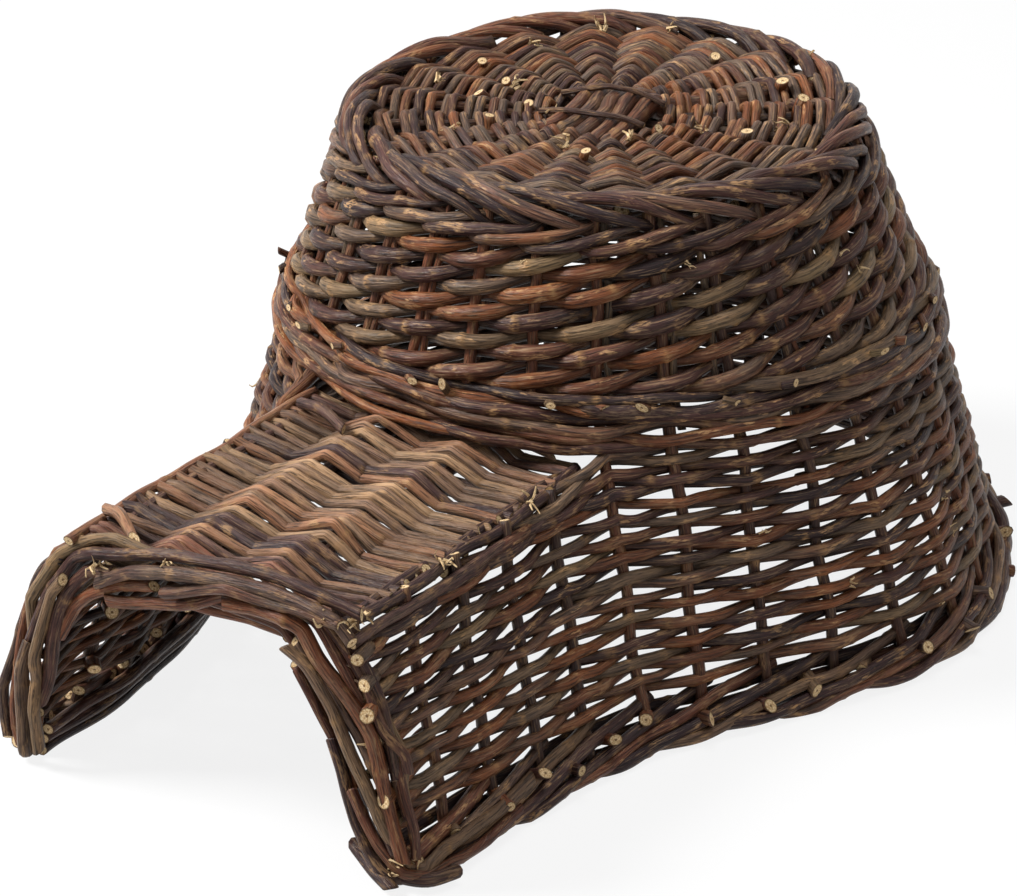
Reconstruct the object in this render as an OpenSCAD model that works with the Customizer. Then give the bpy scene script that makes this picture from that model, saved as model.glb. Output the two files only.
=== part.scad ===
// Hedgehog house: a domed shelter woven from willow rods, with an entrance tunnel.
// Millimetres. Z is up, the mouth faces -Y, and the floor it stands on is z = 0.

/* [Dome] */
// Outer radius of the dome at its foot
base_r = 200; // [185:1:225]
// Outer radius at the shoulder wale
shoulder_r = 162; // [150:1:175]
// Outer radius of the crown rim
crown_r = 131; // [120:1:142]
// Height of the top of the crown rim
height = 234; // [215:1:260]
// Height of the middle of the shoulder wale
shoulder_z = 137; // [130:1:150]

/* [Tunnel] */
// Distance from the axis of the dome to the front of the mouth
mouth_reach = 332; // [290:1:370]
// Outside width of the tunnel's foot at the mouth
mouth_foot_w = 208; // [180:1:230]
// Width of the tunnel roof between the middles of its edge rods
roof_w = 136; // [124:1:150]
// Height of the top of the tunnel roof
roof_z = 124; // [112:1:126]
// Sideways spread of each tunnel wall's foot for each millimetre towards the dome
tunnel_flare = 0.14; // [0.05:0.01:0.2]
// Length over which the foot of the tunnel wall blends into the dome
corner_blend = 60; // [30:1:80]

/* [Stakes] */
// Number of stakes round the dome
stake_count = 30; // [26:2:32]
// Number of stakes in each tunnel wall
tunnel_stake_count = 5; // [4:1:6]
// Diameter of the stakes
stake_d = 5.5; // [4.5:0.1:6.5]

/* [Wall weave] */
// Diameter of the rods woven above the shoulder
upper_rod_d = 5.6; // [4.5:0.1:6.5]
// Diameter of the rods woven below the shoulder
lower_rod_d = 4.6; // [4:0.1:5.5]
// Diameter of the rods of the shoulder wale
wale_rod_d = 6.2; // [5:0.1:7]
// Number of rods one above the other in the shoulder wale
wale_rods = 3; // [2:1:4]
// Least gap between one row of the wall and the next
row_gap = 0.4; // [0.3:0.1:1.5]

/* [Crown] */
// Number of sticks in each of the two crossed layers of the slath
slath_count = 5; // [4:1:6]
// Diameter of the slath sticks, which spread out as spokes
spoke_d = 5; // [4:0.1:5.5]
// Diameter of the innermost crown rod
crown_inner_rod_d = 3.6; // [3:0.1:4]
// Diameter of the outermost crown rod
crown_outer_rod_d = 5.2; // [4:0.1:6]
// Least gap between one row of the crown and the next
crown_row_gap = 1.2; // [0.4:0.1:2.5]
// Diameter of the two ties that lie across the slath
tie_d = 4; // [3:0.1:4.5]
// Length of the ties past the slath on each side
tie_end = 8; // [4:1:14]
// Diameter of the slanted rods of the crown rim
rim_rod_d = 8.2; // [7:0.1:9.5]

/* [Tunnel roof] */
// Number of long sticks in the roof between its edge rods
roof_stick_count = 2; // [2:1:4]
// Diameter of the long sticks and edge rods of the roof
roof_stick_d = 5; // [4:0.1:6]
// Diameter of the rods woven across the roof
roof_rod_d = 5.4; // [4:0.1:6]
// Least gap between one cross rod of the roof and the next
roof_rod_gap = 0.8; // [0.4:0.1:3]

/* [Borders] */
// Diameter of the rods of the mouth border
mouth_rod_d = 6.2; // [5:0.1:7]
// Number of rods side by side in the mouth border
mouth_rods = 4; // [3:1:5]
// Size of the bevelled corners of the mouth border
mouth_corner = 10; // [6:1:16]
// Diameter of the rods of the foot border
foot_rod_d = 5.8; // [5:0.1:7]
// Number of stakes that each foot border rod rises past
foot_rod_span = 3; // [2:1:4]
// Number of rods one above the other in the band inside the foot
band_rods = 2; // [1:1:2]

/* [Fits] */
// Clearance between rods that bear on each other
clearance = 0.3; // [0.2:0.05:0.5]
// Gap between two rods that meet end to end in a row
butt_gap = 0.8; // [0.4:0.1:3]

/* [Hidden] */
// Sides of a stake or border rod, of a woven rod and of a straight round rod
stout_sides = 6;
woven_sides = 4;
round_sides = 24;
// Turn of a stout rod that brings a corner of it uppermost in place of a flat side
corner_up = 180 / stout_sides;
up = [0, 0, 1];

// The origin is under the middle of the whole outline.
dome_y = (mouth_reach - base_r) / 2;
stake_step = 360 / stake_count;
spoke_step = 90 / slath_count;
spoke_count = 4 * slath_count;

// Least cosine squared allowed for a rod's slant where it weaves, so that short spans still close
least_slant = 0.2;
// Offset of a zigzag rod's corner that leaves it m from the stake's axis, with stakes s apart
function swing(m, s) = m / sqrt(max(1 - pow(2 * m / s, 2), least_slant));
function bearing(d1, d2) = (d1 + d2) / 2 + clearance;
function chord(r, step) = 2 * r * sin(step / 2);
function unit(v) = v / norm(v);
function lerp(a, b, t) = a + (b - a) * t;
function smooth_max(a, b, k) = max(a, b) + pow(max(k - abs(a - b), 0), 2) / (4 * k);
function two_digits(i) = str(i < 10 ? "0" : "", i);

// Shoulder wale. A rod lies further out where the wall leans, by the cosine of the lean.
wall_upright = (height - shoulder_z) / norm([height - shoulder_z, shoulder_r - crown_r]);
wale_pitch = wale_rod_d + row_gap;
wale_half = wale_rods * wale_pitch / 2;
wale_m = bearing(stake_d, wale_rod_d) / wall_upright;
wale_reach = swing(wale_m, chord(shoulder_r - 2 * wale_rod_d, stake_step)) + wale_rod_d / 2;

// Crown rim: each rod runs slantwise outwards past two stakes
rim_rod_span = 2;
rim_arc = chord(crown_r - rim_rod_d, stake_step);
rim_m = rim_rod_d + clearance;
rim_pitch = rim_m * rim_arc / sqrt(rim_arc * rim_arc - rim_m * rim_m);
rim_out = crown_r - rim_rod_d / 2;
rim_in = rim_out - rim_rod_span * rim_pitch;
rim_z = height - rim_rod_d / 2;
rim_under = height - rim_rod_d - clearance;

// Foot border
foot_m = bearing(stake_d, foot_rod_d);
foot_flat = foot_rod_d / 2 * cos(corner_up);
foot_pitch = foot_rod_d + 2 * clearance;
foot_top = foot_flat + foot_rod_span * foot_pitch;

// Radii of the stakes' middles
stake_r_foot = base_r - foot_m - foot_rod_d / 2;
stake_r_shoulder = shoulder_r - wale_reach;
stake_r_crown = rim_out - rim_pitch;
stake_foot_z = foot_flat;

// Crown
spoke_z = rim_under - spoke_d / 2;
spoke_tip_r = rim_in + rim_rod_d / 4;
slath_pitch = spoke_d + clearance;
slath_layer = slath_pitch / 2;
slath_half = slath_count * slath_pitch / 2;
slath_spread = 2.5;
slath_open_r = slath_spread * slath_half;
crown_first_r = slath_open_r + crown_inner_rod_d;
crown_last_r = rim_in - rim_rod_d / 2 - clearance - crown_outer_rod_d / 2;
crown_rows = 1 + floor((crown_last_r - crown_first_r)
    / ((crown_inner_rod_d + crown_outer_rod_d) / 2 + crown_row_gap));

// Upper wall
upper_first_z = shoulder_z + wale_half + clearance + upper_rod_d / 2;
upper_last_z = spoke_z - spoke_d / 2 - clearance - upper_rod_d / 2;
upper_rows = 1 + floor((upper_last_z - upper_first_z) / (upper_rod_d + row_gap));

// Tunnel roof
edge_x = roof_w / 2;
front_half = floor(asin(edge_x / stake_r_shoulder) / stake_step + 0.5);
stick_span = roof_w / (roof_stick_count + 1);
stick_xs = [for (i = [0:roof_stick_count + 1]) i * stick_span - edge_x];
roof_swing = swing(bearing(roof_stick_d, roof_rod_d), stick_span);
roof_reach = roof_swing + roof_rod_d / 2;
stick_z = roof_z - roof_reach;
roof_under = stick_z - roof_reach;
// The roof ends inside the line of the stakes, under the wale
roof_tuck = 2 * stake_d;

// Mouth border: its outermost rod stands outside the wall, the others fill in towards the opening
mouth_layer = mouth_rod_d + clearance;
mouth_back = mouth_reach - mouth_layer;
tunnel_stake_x = edge_x + bearing(roof_stick_d, stake_d);
tunnel_front = mouth_back - stake_d / 2;
roof_front = mouth_back - roof_rod_d / 2;
roof_back = stake_r_shoulder - roof_tuck;
stick_back = roof_back - roof_rod_d / 2;
roof_rods = 1 + floor((roof_front - roof_back) / (roof_rod_d + roof_rod_gap));
mouth_half = mouth_foot_w / 2 - foot_m - foot_rod_d / 2;

// Lower wall
lower_first_z = foot_top + foot_rod_d / 2 + clearance + lower_rod_d / 2;
lower_last_z = shoulder_z - wale_half - clearance - lower_rod_d / 2;
lower_rows = 1 + floor((lower_last_z - lower_first_z) / (lower_rod_d + row_gap));
tunnel_row_top = roof_under - clearance - lower_rod_d / 2;
function lower_z(i) = lerp(lower_first_z, lower_last_z, i / (lower_rows - 1));
function upper_z(i) = lerp(upper_first_z, upper_last_z, i / (upper_rows - 1));

// A point on the dome, at an angle counted from the front
function away(angle) = [sin(angle), -cos(angle), 0];
function around(r, angle, z) = r * away(angle) + [0, dome_y, z];
function stake_angle(j) = (j + 0.5) * stake_step;
upper_upright = (rim_under - shoulder_z) / norm([rim_under - shoulder_z, stake_r_shoulder - stake_r_crown]);
function wall_r(z) = lerp(stake_r_shoulder, stake_r_crown, (z - shoulder_z) / (rim_under - shoulder_z));
function skirt_r(z) = lerp(stake_r_shoulder, stake_r_foot, (shoulder_z - z) / (shoulder_z - stake_foot_z));

// Half width of the keyhole outline of the feet, at a distance y behind the dome's axis
function tunnel_half(y) = mouth_half + tunnel_flare * (y + mouth_reach);
function foot_half(y) = smooth_max(tunnel_half(y), sqrt(max(pow(stake_r_foot, 2) - y * y, 0)), corner_blend);
function foot_point(angle) =
    let (y = -stake_r_foot * cos(angle))
    cos(angle) > 0
        ? [sign(sin(angle)) * foot_half(y), dome_y + y, stake_foot_z]
        : around(stake_r_foot, angle, stake_foot_z);

// Stakes of the lower wall, from the right side of the mouth round the back to the left side
wall_stakes = [for (j = [front_half:stake_count - 1 - front_half]) stake_angle(j)];
front_stakes = [for (j = [-front_half:front_half - 1]) stake_angle(j)];
corner_top_y = -stake_r_shoulder * cos(wall_stakes[0]);
corner_foot_y = -stake_r_foot * cos(wall_stakes[0]);
function tunnel_top(side, i) = [
    side * tunnel_stake_x,
    dome_y + lerp(-tunnel_front, corner_top_y, i / tunnel_stake_count),
    stick_z + stake_d / 2
];
function tunnel_foot(side, i) =
    let (y = lerp(-tunnel_front, corner_foot_y, i / tunnel_stake_count))
    [side * foot_half(y), dome_y + y, stake_foot_z];
skirt_tops = concat(
    [for (i = [0:tunnel_stake_count - 1]) tunnel_top(1, i)],
    [for (a = wall_stakes) around(stake_r_shoulder, a, shoulder_z)],
    [for (i = [tunnel_stake_count - 1:-1:0]) tunnel_top(-1, i)]
);
skirt_feet = concat(
    [for (i = [0:tunnel_stake_count - 1]) tunnel_foot(1, i)],
    [for (a = wall_stakes) foot_point(a)],
    [for (i = [tunnel_stake_count - 1:-1:0]) tunnel_foot(-1, i)]
);
skirt_last = len(skirt_tops) - 1;

// A stake's middle at height z, the cosine of its lean, and the outward direction at it
function skirt_point(k, z) =
    lerp(skirt_tops[k], skirt_feet[k], (skirt_tops[k].z - z) / (skirt_tops[k].z - stake_foot_z));
function skirt_at(z) = [for (k = [0:skirt_last]) skirt_point(k, z)];
function upright(k) = let (run = skirt_tops[k] - skirt_feet[k]) run.z / norm(run);
function heading(points, k) = unit(points[min(k + 1, len(points) - 1)] - points[max(k - 1, 0)]);
function outward(points, k) = unit(cross(heading(points, k), up));
function span_at(points, k) = min(
    norm(points[max(k, 1)] - points[max(k - 1, 0)]),
    norm(points[min(k + 1, len(points) - 1)] - points[min(k, len(points) - 2)])
);

// Swept rods: one ring of corners at each point of a path, closed by a fan at each end
function tangent(path, i) = unit(path[min(i + 1, len(path) - 1)] - path[max(i - 1, 0)]);
function ring(p, t, d, sides, ref, turn) =
    let (u = unit(cross(ref, t)), v = cross(t, u))
    [for (s = [0:sides - 1]) let (a = 360 * s / sides + turn) p + (u * cos(a) + v * sin(a)) * d / 2];
function rod_faces(first, rings, sides) = concat(
    [for (s = [1:sides - 2]) [first, first + s, first + s + 1]],
    [
        for (i = [0:rings - 2], s = [0:sides - 1])
            let (
                a = first + i * sides + s,
                b = first + i * sides + (s + 1) % sides
            )
            each [[a, a + sides, b + sides], [a, b + sides, b]]
    ],
    [
        let (last = first + (rings - 1) * sides)
        for (s = [1:sides - 2]) [last, last + s + 1, last + s]
    ]
);

// Several separate rods along the given paths
module rods(paths, d, sides, ref = up, turn = 0) {
    firsts = [for (k = 0, n = 0; k < len(paths); n = n + len(paths[k]) * sides, k = k + 1) n];
    polyhedron(
        points = [
            for (path = paths, i = [0:len(path) - 1])
                each ring(path[i], tangent(path, i), d, sides, ref, turn)
        ],
        faces = [for (k = [0:len(paths) - 1]) each rod_faces(firsts[k], len(paths[k]), sides)]
    );
}

// A straight round rod
module straight_rod(from, to, d) {
    run = to - from;
    translate(from)
        rotate([0, acos(run.z / norm(run)), atan2(run.y, run.x)])
            cylinder(h = norm(run), d = d, $fn = round_sides);
}

// How far a rod of diameter d stops short of a corner where another rod carries on
function draw_back(before, corner, after, d) =
    let (c = unit(corner - before) * unit(after - corner))
    butt_gap / 2 + d / 2 * sqrt((1 - c) / (1 + c));
// The corners from one stake to a later one, with both ends drawn back from the next rod
function between(corners, from, to, d) =
    let (
        n = len(corners),
        at = function(k) corners[(k + n) % n],
        start_pull = draw_back(at(from - 1), at(from), at(from + 1), d),
        end_pull = draw_back(at(to - 1), at(to), at(to + 1), d)
    )
    concat(
        [at(from) + unit(at(from + 1) - at(from)) * start_pull],
        [for (k = [from + 1:to - 1]) at(k)],
        [at(to) + unit(at(to - 1) - at(to)) * end_pull]
    );
// A closed row cut into rods, each running over the same number of stakes where that divides
rod_stakes = 6;
function closed_row(corners, first, period, d) =
    let (n = len(corners), count = max(floor(n / rod_stakes), 2), steps = floor(n / period))
    [
        for (p = [0:count - 1])
            let (
                from = first + period * round(p * steps / count),
                to = p == count - 1 ? first + n : first + period * round((p + 1) * steps / count)
            )
            between(corners, from, to, d)
    ];

// Crown
function spoke_angle(k) = (k + (slath_count % 2 == 0 ? 0.5 : 0)) * spoke_step;
function slath_path(i, layer) =
    let (
        fan = i * spoke_step,
        edge = slath_half + clearance,
        half = [
            [slath_pitch * i, edge, layer * slath_layer],
            [slath_open_r * sin(fan), slath_open_r * cos(fan), 0],
            [spoke_tip_r * sin(fan), spoke_tip_r * cos(fan), 0]
        ]
    )
    concat(
        [for (k = [2:-1:0]) [half[k].x, -half[k].y, half[k].z]],
        half
    );
slath_indices = [for (i = [0:slath_count - 1]) i - (slath_count - 1) / 2];
function at_crown(p) = p + [0, dome_y, spoke_z];
function turned(p) = [p.y, p.x, p.z];

// Long sticks of the slath, on top
module slath_long_sticks() {
    color("#54433a")
        rods([for (i = slath_indices) [for (p = slath_path(i, 1)) at_crown(p)]], spoke_d, stout_sides);
}

// Cross sticks of the slath, underneath
module slath_cross_sticks() {
    color("#4b3b33")
        rods(
            [for (i = slath_indices) [for (p = slath_path(i, -1)) at_crown(turned(p))]],
            spoke_d,
            stout_sides
        );
}

// Two ties that lie across the long sticks
module slath_ties() {
    tie_z = spoke_z + slath_layer + spoke_d / 2 + clearance + tie_d / 2;
    tie_x = slath_half + tie_end;
    color("#6a4a3a")
        for (side = [-1, 1]) {
            y = dome_y + side * slath_half / 2;
            straight_rod([-tie_x, y, tie_z], [tie_x, y, tie_z], tie_d);
        }
}

// One row of the crown: over one spoke and under the next
module crown_weave_row(i) {
    t = i / (crown_rows - 1);
    r = lerp(crown_first_r, crown_last_r, t);
    d = lerp(crown_inner_rod_d, crown_outer_rod_d, t);
    a = swing(bearing(spoke_d, d), chord(r, spoke_step));
    corners = [
        for (k = [0:spoke_count - 1])
            around(r, spoke_angle(k), spoke_z + ((k + i) % 2 == 0 ? a : -a))
    ];
    half = spoke_count / 2;
    first = (i + 1) % 2 + 2 * (i % 3);
    color("#5b4a3d")
        rods(
            [for (p = [0, 1]) between(corners, first + p * half, first + (p + 1) * half, d)],
            d,
            woven_sides
        );
}

// Crown rim: rods that run slantwise from the crown out over the tops of the stakes
module crown_rim() {
    overrun = 0.1;
    stations = [-overrun, 0.65, 1.35, rim_rod_span + overrun];
    color("#5e4236")
        rods(
            [
                for (j = [0:stake_count - 1]) [
                    for (u = stations)
                        around(rim_in + rim_pitch * u, stake_angle(j + u), rim_z)
                ]
            ],
            rim_rod_d,
            stout_sides,
            turn = corner_up
        );
}

// Stakes that run from the crown over the shoulder to the foot
module wall_stakes() {
    color("#4f3a2e")
        rods(
            [
                for (k = [0:len(wall_stakes) - 1]) [
                    around(stake_r_crown, wall_stakes[k], rim_under),
                    skirt_tops[tunnel_stake_count + k],
                    skirt_feet[tunnel_stake_count + k]
                ]
            ],
            stake_d,
            stout_sides,
            ref = [1, 0, 0]
        );
}

// Stakes over the tunnel, which end on the weave of its roof
front_end_z = roof_z + stake_d / 4;
function front_end(a) = [
    around(stake_r_shoulder, a, 0).x,
    around(skirt_r(front_end_z), a, 0).y,
    front_end_z
];
module front_stakes() {
    color("#4f3a2e")
        rods(
            [
                for (a = front_stakes) [
                    around(stake_r_crown, a, rim_under),
                    around(stake_r_shoulder, a, shoulder_z),
                    front_end(a)
                ]
            ],
            stake_d,
            stout_sides,
            ref = [1, 0, 0]
        );
}

// One row of the upper wall: outside one stake and inside the next
module upper_weave_row(i) {
    z = upper_z(i);
    a = swing(bearing(stake_d, upper_rod_d) / upper_upright, chord(wall_r(z), stake_step));
    corners = [
        for (k = [0:stake_count - 1])
            around(wall_r(z) + ((k + i) % 2 == 0 ? a : -a), stake_angle(k), z)
    ];
    color("#5a4536")
        rods(closed_row(corners, (i + 1) % 2 + 2 * (i % 3), 2, upper_rod_d), upper_rod_d, woven_sides);
}

// Shoulder wale: each rod runs outside two stakes and inside the third
function wale_point(k, z) =
    let (a = stake_angle(k), low = k >= front_half && k < stake_count - front_half)
    z > shoulder_z ? around(wall_r(z), a, z)
        : low ? skirt_point(tunnel_stake_count + k - front_half, z)
        : lerp(around(stake_r_shoulder, a, shoulder_z), front_end(a),
            (shoulder_z - z) / (shoulder_z - front_end_z));
module shoulder_wale() {
    wale_period = 3;
    color("#493a33")
        rods(
            [
                for (w = [0:wale_rods - 1])
                    let (
                        z = shoulder_z - wale_half + wale_pitch * (w + 0.5),
                        a = swing(wale_m, chord(stake_r_shoulder, stake_step)),
                        corners = [
                            for (k = [0:stake_count - 1])
                                let (side = (k + w) % wale_period == wale_period - 1 ? -1 : 1)
                                wale_point(k, z) + side * a * away(stake_angle(k))
                        ]
                    )
                    each closed_row(corners, wale_period - 1 - w % wale_period, wale_period, wale_rod_d)
            ],
            wale_rod_d,
            woven_sides
        );
}

// One row of the lower wall. Rows below the tunnel's roof run from mouth to mouth round the back.
module lower_weave_row(i) {
    z = lower_z(i);
    middles = skirt_at(z);
    m = bearing(stake_d, lower_rod_d);
    side_of = function(k) (k + i) % 2 == 0 ? 1 : -1;
    corners = [
        for (k = [0:skirt_last])
            middles[k] + outward(middles, k) * side_of(k) * swing(m / upright(k), span_at(middles, k))
    ];
    in_tunnel = z <= tunnel_row_top;
    from = in_tunnel ? 0 : tunnel_stake_count;
    to = in_tunnel ? skirt_last : skirt_last - tunnel_stake_count;
    first_cut = from + rod_stakes - (side_of(from) > 0 ? 1 : 0);
    cuts = [for (k = [first_cut:rod_stakes:to - 2]) k];
    starts = concat([from], cuts);
    ends = concat(cuts, [to]);
    stub = stake_d / 2;
    color("#4c3b31")
        rods(
            [
                for (p = [0:len(starts) - 1])
                    let (rod = between(corners, starts[p], ends[p], lower_rod_d))
                    concat(
                        starts[p] == from ? [corners[from] - heading(middles, from) * stub] : [],
                        rod,
                        ends[p] == to ? [corners[to] + heading(middles, to) * stub] : []
                    )
            ],
            lower_rod_d,
            woven_sides
        );
}

// Stakes of the two tunnel walls
module tunnel_stakes() {
    indices = [for (i = [0:tunnel_stake_count - 1]) i];
    color("#513d31")
        rods(
            [for (side = [-1, 1], i = indices) [tunnel_top(side, i), tunnel_foot(side, i)]],
            stake_d,
            stout_sides,
            ref = [0, 1, 0]
        );
}

// Long sticks under and over which the tunnel roof is woven
module roof_sticks() {
    color("#5c4a3c")
        for (i = [1:roof_stick_count]) {
            x = stick_xs[i];
            straight_rod([x, dome_y - mouth_back, stick_z], [x, dome_y - stick_back, stick_z], roof_stick_d);
        }
}

// Rods along the two edges of the tunnel roof
module roof_edge_rods() {
    color("#66503f")
        for (side = [-1, 1])
            straight_rod(
                [side * edge_x, dome_y - mouth_back, stick_z],
                [side * edge_x, dome_y - stick_back, stick_z],
                roof_stick_d
            );
}

// Rods woven across the tunnel roof
module roof_cross_rods() {
    end_x = edge_x + roof_stick_d / 2;
    last = len(stick_xs) - 1;
    color("#6b5b4a")
        rods(
            [
                for (i = [0:roof_rods - 1])
                    let (
                        y = dome_y - lerp(roof_front, roof_back, i / (roof_rods - 1)),
                        z_at = function(k) stick_z + ((k + i) % 2 == 0 ? roof_swing : -roof_swing)
                    )
                    concat(
                        [[-end_x, y, z_at(0)]],
                        [for (k = [0:last]) [stick_xs[k], y, z_at(k)]],
                        [[end_x, y, z_at(last)]]
                    )
            ],
            roof_rod_d,
            woven_sides
        );
}

// Mouth border: rods bent round the mouth, up one leg, across and down the other
module mouth_border() {
    y = dome_y - mouth_reach + mouth_rod_d / 2;
    top = tunnel_top(1, 0);
    foot = tunnel_foot(1, 0);
    foot_end_z = mouth_rod_d / 4;
    lean = unit([foot.x - top.x, foot.z - top.z]);
    leg_at = function(z) foot.x + (z - foot.z) * lean.x / lean.y;
    bend = [leg_at(stick_z - mouth_corner), stick_z - mouth_corner];
    shoulder = [leg_at(stick_z) - mouth_corner, stick_z];
    bevel = unit(bend - shoulder);
    leg_out = [-lean.y, lean.x];
    bevel_out = [-bevel.y, bevel.x];
    top_out = [0, 1];
    function corner_out(n1, n2) = (n1 + n2) / (1 + n1 * n2);
    color("#523f35")
        rods(
            [
                for (beside = [0:mouth_rods - 1])
                    let (
                        o = (beside + 2 - mouth_rods) * mouth_layer,
                        b = bend + corner_out(leg_out, bevel_out) * o,
                        c = shoulder + corner_out(bevel_out, top_out) * o,
                        half = [[b.x + (foot_end_z - b.y) * lean.x / lean.y, foot_end_z], b, c]
                    )
                    concat(
                        [for (k = [0:2]) [half[k].x, y, half[k].y]],
                        [for (k = [2:-1:0]) [-half[k].x, y, half[k].y]]
                    )
            ],
            mouth_rod_d,
            stout_sides,
            ref = [0, 1, 0]
        );
}

// Foot border: each rod starts low outside a stake, rises past the next ones and ends inside one
module foot_border() {
    middles = skirt_at(stake_foot_z);
    stub = stake_d / 4;
    function at_stake(k, u) =
        let (a = swing(foot_m / upright(k), span_at(middles, k)))
        skirt_point(k, foot_top - foot_pitch * u) + outward(middles, k) * (u == 0 ? -a : a);
    color("#50392e")
        rods(
            [
                for (j = [1 - foot_rod_span:skirt_last - 1])
                    let (
                        from = max(j, 0),
                        to = min(j + foot_rod_span, skirt_last),
                        corners = [for (k = [from:to]) at_stake(k, j + foot_rod_span - k)]
                    )
                    concat([corners[0] - heading(middles, from) * stub], corners)
            ],
            foot_rod_d,
            stout_sides
        );
}

// Band of level rods inside the foot of the stakes
module foot_band() {
    middles = skirt_at(stake_foot_z);
    cuts = [for (k = [rod_stakes:rod_stakes:skirt_last - 2]) k];
    starts = concat([0], cuts);
    ends = concat(cuts, [skirt_last]);
    color("#4a372d")
        rods(
            [
                for (level = [0:band_rods - 1])
                    let (
                        z = foot_flat + level * foot_pitch,
                        corners = [
                            for (k = [0:skirt_last])
                                skirt_point(k, z) - outward(middles, k) * foot_m / upright(k)
                        ]
                    )
                    for (p = [0:len(starts) - 1]) between(corners, starts[p], ends[p], foot_rod_d)
            ],
            foot_rod_d,
            stout_sides
        );
}

slath_long_sticks();
slath_cross_sticks();
slath_ties();
for (i = [1:crown_rows])
    crown_weave_row(i - 1);
crown_rim();
wall_stakes();
front_stakes();
for (i = [1:upper_rows])
    upper_weave_row(i - 1);
shoulder_wale();
for (i = [1:lower_rows])
    lower_weave_row(i - 1);
tunnel_stakes();
roof_sticks();
roof_edge_rods();
roof_cross_rods();
mouth_border();
foot_border();
foot_band();
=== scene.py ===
"""A hedgehog house woven from unpeeled willow: a dome on stakes with a flat-roofed entrance tunnel."""
import math

import bpy
import numpy as np
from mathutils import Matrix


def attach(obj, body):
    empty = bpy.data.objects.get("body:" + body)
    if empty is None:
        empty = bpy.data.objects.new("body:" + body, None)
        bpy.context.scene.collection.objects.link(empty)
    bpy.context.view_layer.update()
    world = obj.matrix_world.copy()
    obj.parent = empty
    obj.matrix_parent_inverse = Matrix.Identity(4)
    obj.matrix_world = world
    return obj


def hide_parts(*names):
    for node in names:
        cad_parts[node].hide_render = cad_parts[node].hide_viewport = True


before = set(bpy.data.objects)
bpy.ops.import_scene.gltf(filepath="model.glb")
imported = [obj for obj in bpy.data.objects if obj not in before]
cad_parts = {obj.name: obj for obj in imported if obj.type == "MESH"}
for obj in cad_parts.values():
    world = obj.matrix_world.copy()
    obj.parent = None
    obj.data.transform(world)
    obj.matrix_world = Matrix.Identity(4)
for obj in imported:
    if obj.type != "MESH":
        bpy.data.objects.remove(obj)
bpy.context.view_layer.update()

MM = 0.001
UP = np.array([0.0, 0.0, 1.0])
BACKWARD = np.array([0.0, 1.0, 0.0])

# Dome: radii of the stakes' middles, heights and thickness, and thin bye stakes beside some of them
DOME_Y = 66 * MM
STAKES = 30
STAKE_STEP = 2 * math.pi / STAKES
FOOT_R = 191.2 * MM
SHOULDER_R = 151.8 * MM
CROWN_R = 117.9 * MM
SHOULDER_Z = 137 * MM
HALFWAY_Z = 180 * MM
STAKE_TOP_Z = 225.5 * MM
FOOT_Z = 2.5 * MM
STAKE_D = 5.5 * MM
SHOULDER_BEND = 0.12
BYE_STAKES = 18
BYE_STAKE_Z = (132 * MM, 222 * MM)
BYE_STAKE_TURN = 4.9 / 135

# Tunnel, and the dome's front stakes that end on its roof, with how many stand on each side of the middle
TUNNEL_STAKES = 5
TUNNEL_FRONT = 322.8 * MM
MOUTH_REACH = 332 * MM
MOUTH_HALF = 95.2 * MM
TUNNEL_FLARE = 0.14
CORNER_BLEND = 60 * MM
TUNNEL_TOP_X = 73.6 * MM
STICK_Z = 115.6 * MM
STICK_XS = np.array([-68, -22.7, 22.7, 68]) * MM
FRONT_HALF = 2
FRONT_STAKE_Z = 125.4 * MM

# Woven rows that the solids have
UPPER_ROWS = 12
LOWER_ROWS = 20
CROWN_ROWS = 12

# Rods that are shown: first and last height, radius or depth, and number
LOWER_RODS = (26.5 * MM, 125 * MM, 24)
CROWN_RODS = (31 * MM, 108.5 * MM, 14)
ROOF_OVER_RODS = (-256.8 * MM, -74.8 * MM, 26)
ROOF_UNDER_RODS = (-256.8 * MM, -74.8 * MM, 16)
WALE_ZS = np.array([127.6, 131.6, 135.6, 139.6, 143.6, 147.2]) * MM
BAND_ZS = np.array([3.2, 9.3, 15.4]) * MM

# Upper wall: a rod's height at its first stake, its climb from stake to stake, and its lengths, each from a
# first stake to a last
UPPER_FOOT_Z = 147 * MM
UPPER_CLIMB = 6.13 * MM
UPPER_LENGTHS = ((0, 4), (4, 8), (8, 10))

# Weave: how long a rod lies straight outside a stake, in stakes to each side, how much of its reach it takes
# outside and inside a stake, and where its ends tuck in
UPPER_FLAT, LOWER_FLAT = 0.36, 0.32
UPPER_SHARES, LOWER_SHARES = (0.54, 0.5), (0.44, 0.54)
UPPER_TUCK, LOWER_TUCK = -1.4, -1.3

# Lower wall: the last rod that reaches the mouth, counted from 0 at the foot, how high it gets in the
# tunnel's walls, and how much higher each rod above it gets
LAST_TUNNEL_ROD = 19
TUNNEL_CEILING_Z = 106.5 * MM
TUNNEL_CEILING_STEP = 1.8 * MM

# Crown: the spokes, and in each layer of the slath the sticks' number, spacing, lift off the spokes' level
# and slant
SPOKES = 20
SPOKE_Z = 223 * MM
SPOKE_D = 4.6 * MM
SLATH_STICKS = 5
SLATH_GAP = 8.2 * MM
SLATH_LIFT = 3.4 * MM
SLATH_SLANT = 0.14

# Lean and sag
CROWN_LEAN = np.array([3.4, 2.2]) * MM
FOOT_BULGE = 4 * MM
CORNER_FILL = 6 * MM
RIM_RISE = 4 * MM
LEG_SPREAD = 9 * MM


def unit(v):
    """v over its own length, along the last axis."""
    return v / np.maximum(np.linalg.norm(v, axis=-1, keepdims=True), 1e-12)


def ease(x):
    """0 below 0, 1 above 1, and 3x^2 - 2x^3 between."""
    x = np.clip(x, 0, 1)
    return x * x * (3 - 2 * x)


def bump(x, middle, width):
    """exp(-((x - middle) / width)^2)."""
    return np.exp(-(((x - middle) / width) ** 2))


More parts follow.
